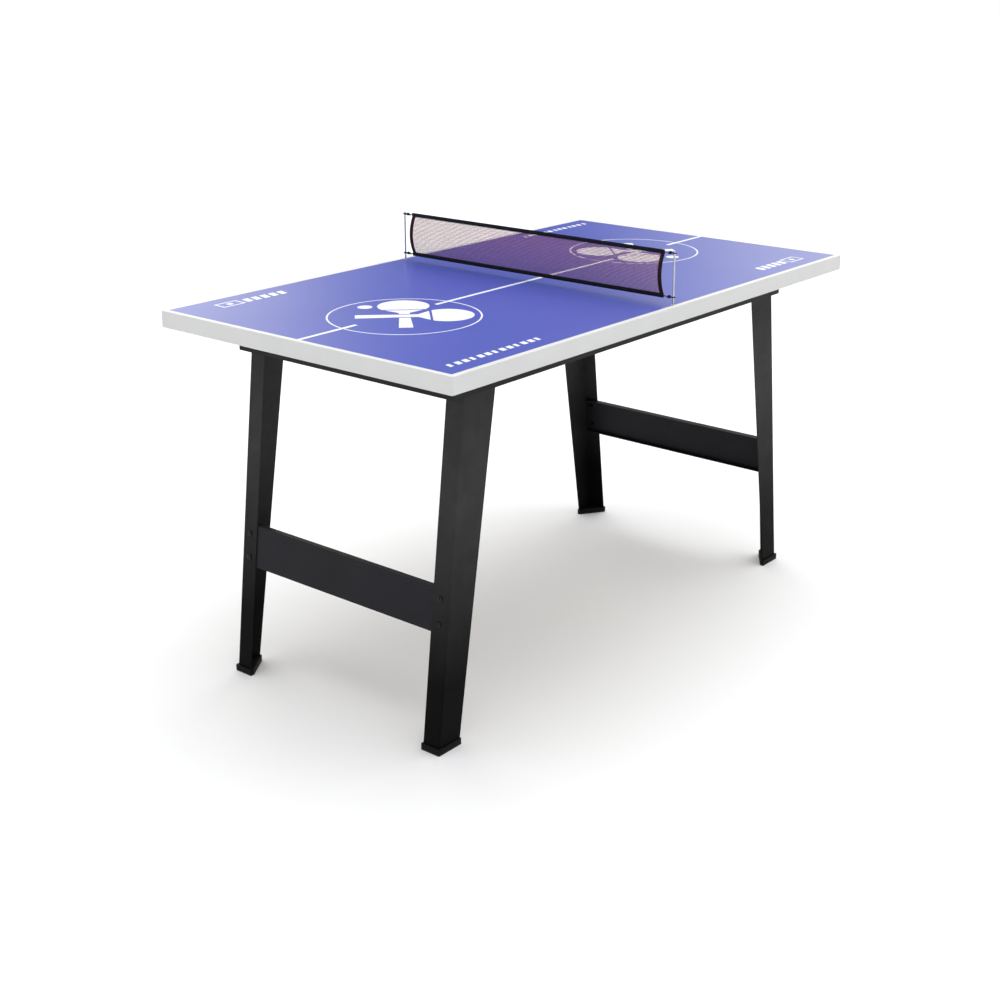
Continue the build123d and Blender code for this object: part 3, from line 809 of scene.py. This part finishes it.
def net_cord(name, node):
    """The cord out of both ends of a tape, looped round each post and knotted back on itself."""
    low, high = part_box(node)
    level = (low.z + high.z) / 2
    post_y = (post_low.y + post_high.y) / 2
    radius = (high.z - low.z) / 2
    loop = high.y - post_y - radius
    shape = Shape()
    for side in HANDS.values():
        def at(x, y, z=0.0):
            return Vector((x, side * y, level + z))

        points = [
            at(0.0, tape_end - 6 * MM),
            at(0.0, tape_end - 2 * MM),
            at(0.0, tape_end + 3 * MM),
            at(0.2 * MM, post_y - 9 * MM),
            at(1.6 * MM, post_y - 4.6 * MM),
        ]
        for degrees in range(-35, 216, 25):
            angle = math.radians(degrees)
            points.append(at(loop * math.cos(angle), post_y + loop * math.sin(angle)))
        points.append(at(-1.5 * MM, post_y - 4.8 * MM))
        coil = 2 * radius * 0.96
        for i in range(19):
            angle = math.pi + 2 * math.pi * i / COIL_STEPS
            y = post_y - COIL_START - COIL_ADVANCE * i
            points.append(at(coil * math.cos(angle), y, coil * math.sin(angle)))
        points.append(at(2.0 * MM, post_y - 14.4 * MM, -2.2 * MM))
        points.append(at(2.6 * MM, post_y - 15.5 * MM, -4.2 * MM))
        twist_rope(shape, points, radius * 0.98, lay=2.6 * MM)
    piece = shape.make(name, cord_yarn, "net_set", "black_cord")
    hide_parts(node)
    return piece


# ---- The build ---------------------------------------------------------------------------

ink = printed_ink()
net_yarn = yarn("net_yarn_dyed", (0.24, 0.055, 0.080), (0.34, 0.090, 0.120), 0.62)
sewing_thread = yarn("sewing_thread", (0.011, 0.009, 0.011), (0.024, 0.020, 0.023), 0.55)
cord_yarn = yarn("cord_yarn", (0.005, 0.005, 0.006), (0.011, 0.011, 0.013), 0.65)
black_tape = woven_tape("black_woven_tape", (0.004, 0.004, 0.006), (0.009, 0.009, 0.013), "YZ")
maroon_tape = woven_tape("maroon_woven_tape", (0.011, 0.0025, 0.004), (0.024, 0.006, 0.009), "YZ")

NODE_MATERIALS = {
    "playing_panel": playing_surface(),
    "edge_board": edge_foil(),
    "corner_block": pine(),
    "frame_rail": powder_coat("rail_powder_coat", (0.010, 0.010, 0.0105), (0.014, 0.014, 0.0145),
                              0.14),
    # The legs carry painted light: their coat greys towards the top.
    "leg": powder_coat("leg_powder_coat", (0.0034, 0.0034, 0.0036), (0.0044, 0.0044, 0.0046),
                       0.03, painted_light_span=(0.13, 0.48)),
    "crossbar": powder_coat("crossbar_powder_coat", (0.010, 0.010, 0.0135), (0.013, 0.013, 0.0175),
                            0.12),
    "foot_cap": moulded_plastic("foot_rubber", (0.004, 0.004, 0.004), (0.006, 0.006, 0.006),
                                0.6, 0.05 * MM, 0.10, dusty=True),
    "bolts": plated_metal("black_oxide", (0.020, 0.020, 0.022), (0.045, 0.045, 0.048),
                          0.38, (500.0, 500.0, 500.0), 0.02 * MM),
    "nuts": plated_metal("bright_zinc", (0.46, 0.46, 0.44), (0.66, 0.66, 0.62),
                         0.30, (700.0, 700.0, 700.0), 0.02 * MM),
    "net_post": plated_metal("plated_wire", (0.44, 0.45, 0.47), (0.56, 0.57, 0.59),
                             0.24, (900.0, 900.0, 25.0), 0.01 * MM),
    "post_socket": moulded_plastic("socket_nylon", (0.62, 0.62, 0.61), (0.72, 0.72, 0.71),
                                   0.42, 0.03 * MM, 0.45),
}
ALIASES = {
    "cross_rail_bolts": "bolts", "cross_rail_nuts": "nuts", "cross_rail": "frame_rail",
    "frame_bracket": "frame_rail", "leg_bolts": "bolts", "leg_nuts": "bolts",
    "crossbar_bolts": "bolts", "crossbar_nuts": "bolts", "bracket_bolts": "bolts",
    "bracket_nuts": "nuts", "panel_screws": "nuts",
}


def dress_frame():
    """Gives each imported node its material, by the longest name that the node's own starts with."""
    families = {**{key: key for key in NODE_MATERIALS}, **ALIASES}
    for name, node in nodes.items():
        known = [key for key in families if name.startswith(key)]
        if known:
            found = NODE_MATERIALS[families[max(known, key=len)]]
            for slot in node.material_slots:
                slot.material = found


dress_frame()
centre_line()
for end_name, end_side in ENDS.items():
    emblem(f"printed_emblem_{end_name}", end_side)
    badge(f"printed_badge_{end_name}", end_side)
    edge_strip(f"printed_strip_{end_name}", end_side)

yarn_mesh = net_mesh()
net_trim = straight_tape("net_top_hem", "net_top_tape", 1, black_tape)
net_trim += straight_tape("net_bottom_hem", "net_bottom_tape", -1, black_tape)
for hand_name in HANDS:
    net_trim += side_tape(hand_name)
net_cord("net_top_rope", "net_top_cord")
net_cord("net_bottom_rope", "net_bottom_cord")


# ---- Stage, light and camera -------------------------------------------------------------

def floor():
    """One large flat face."""
    half = 30.0
    mesh = bpy.data.meshes.new("studio_floor")
    corners = [(-half, -half, 0.0), (half, -half, 0.0), (half, half, 0.0), (-half, half, 0.0)]
    mesh.from_pydata(corners, [], [(0, 1, 2, 3)])
    mesh.materials.append(studio_floor())
    piece = bpy.data.objects.new("studio_floor", mesh)
    bpy.context.scene.collection.objects.link(piece)


def direction(azimuth, elevation):
    """A unit vector at an angle from +X towards +Y, and above the horizon, in degrees."""
    a, e = math.radians(azimuth), math.radians(elevation)
    return Vector((math.cos(a) * math.cos(e), math.sin(a) * math.cos(e), math.sin(e)))


WHITE = (1.0, 1.0, 1.0)
SKY_AXIS = Vector((0.32, -0.02, 1.0)).normalized()
SKY_EDGE = (0.48, 0.94)
SKY_TOP = 2.42
SKY_LOW = 0.04
FRONT_FROM = -direction(6.0, 0.0)
FRONT_LIGHT = 0.66
WALL_COLOUR = (1.0, 0.98, 0.74)
# Each wall's azimuth, elevation, inner and outer half angles in degrees, and its strength.
WALLS = (
    (67.0, 13.0, 12.0, 24.0, 2.1),
    (14.0, 10.0, 11.0, 24.0, 1.6),
)


def studio_light():
    """A plain studio: bright overhead, dim near the horizon, a faint front light and two walls."""
    world = bpy.data.worlds.new("studio")
    bpy.context.scene.world = world
    world.use_nodes = True
    tree = world.node_tree
    tree.nodes.clear()

    def node(kind, **settings):
        made = tree.nodes.new(kind)
        for key, value in settings.items():
            setattr(made, key, value)
        return made

    def ramp(value, start, end, low, high):
        made = node("ShaderNodeMapRange", interpolation_type="SMOOTHSTEP")
        tree.links.new(value, made.inputs[0])
        for socket, number in zip(list(made.inputs)[1:], (start, end, low, high)):
            socket.default_value = number
        return made.outputs["Result"]

    def add(first, second):
        made = node("ShaderNodeMath", operation="ADD")
        tree.links.new(first, made.inputs[0])
        tree.links.new(second, made.inputs[1])
        return made.outputs["Value"]

    def towards(vector):
        made = node("ShaderNodeVectorMath", operation="DOT_PRODUCT")
        tree.links.new(coordinates.outputs["Generated"], made.inputs[0])
        made.inputs[1].default_value = vector
        return made.outputs["Value"]

    def glow(colour, strength=None):
        """A background of even strength 1, or of the strength given."""
        made = node("ShaderNodeBackground")
        made.inputs["Color"].default_value = (*colour, 1.0)
        made.inputs["Strength"].default_value = 1.0
        if strength is not None:
            tree.links.new(strength, made.inputs["Strength"])
        return made.outputs["Background"]

    coordinates = node("ShaderNodeTexCoord")
    overhead = ramp(towards(SKY_AXIS), *SKY_EDGE, 0.0, SKY_TOP - SKY_LOW)
    front = ramp(towards(FRONT_FROM), -1.0, 1.0, SKY_LOW, SKY_LOW + FRONT_LIGHT)
    walls = None
    for azimuth, elevation, inner, outer, amount in WALLS:
        lobe = ramp(towards(direction(azimuth, elevation)), math.cos(math.radians(outer)),
                    math.cos(math.radians(inner)), 0.0, amount)
        walls = lobe if walls is None else add(walls, lobe)

    both = node("ShaderNodeAddShader")
    tree.links.new(glow(WHITE, add(overhead, front)), both.inputs[0])
    tree.links.new(glow(WALL_COLOUR, walls), both.inputs[1])
    seen = node("ShaderNodeMixShader")
    tree.links.new(node("ShaderNodeLightPath").outputs["Is Camera Ray"], seen.inputs["Fac"])
    tree.links.new(both.outputs["Shader"], seen.inputs[1])
    tree.links.new(glow(WHITE), seen.inputs[2])
    output = node("ShaderNodeOutputWorld")
    tree.links.new(seen.outputs["Shader"], output.inputs["Surface"])


# From the middle of the playing surface, in metres, with the axis's angles in degrees.
CAMERA_OFFSET = Vector((-2.5121, -2.0115, 0.685))
AXIS_AZIMUTH = -51.4396
AXIS_ELEVATION = 16.5119
AXIS_ROLL = 0.2307
LENS = 54.88
SENSOR = 36.0
SHIFT = (-0.0332, -0.100)


def camera():
    """A standing viewer's camera, off the front right corner, looking slightly down."""
    data = bpy.data.cameras.new("camera")
    data.sensor_width = SENSOR
    data.lens = LENS
    data.shift_x, data.shift_y = SHIFT
    data.clip_end = 200.0
    a, e, r = (math.radians(angle) for angle in (AXIS_AZIMUTH, AXIS_ELEVATION, AXIS_ROLL))
    back = Vector((math.sin(a) * math.cos(e), -math.cos(a) * math.cos(e), math.sin(e)))
    level = Vector((math.cos(a), math.sin(a), 0.0))
    upright = back.cross(level)
    right = level * math.cos(r) + upright * math.sin(r)
    up = upright * math.cos(r) - level * math.sin(r)
    piece = bpy.data.objects.new("camera", data)
    bpy.context.scene.collection.objects.link(piece)
    turn = Matrix((right, up, back)).transposed().to_4x4()
    piece.matrix_world = Matrix.Translation(CAMERA_OFFSET + Vector((0, 0, surface_level))) @ turn
    bpy.context.scene.camera = piece


floor()
studio_light()
camera()
bpy.context.scene.view_settings.view_transform = "Standard"
bpy.context.view_layer.update()
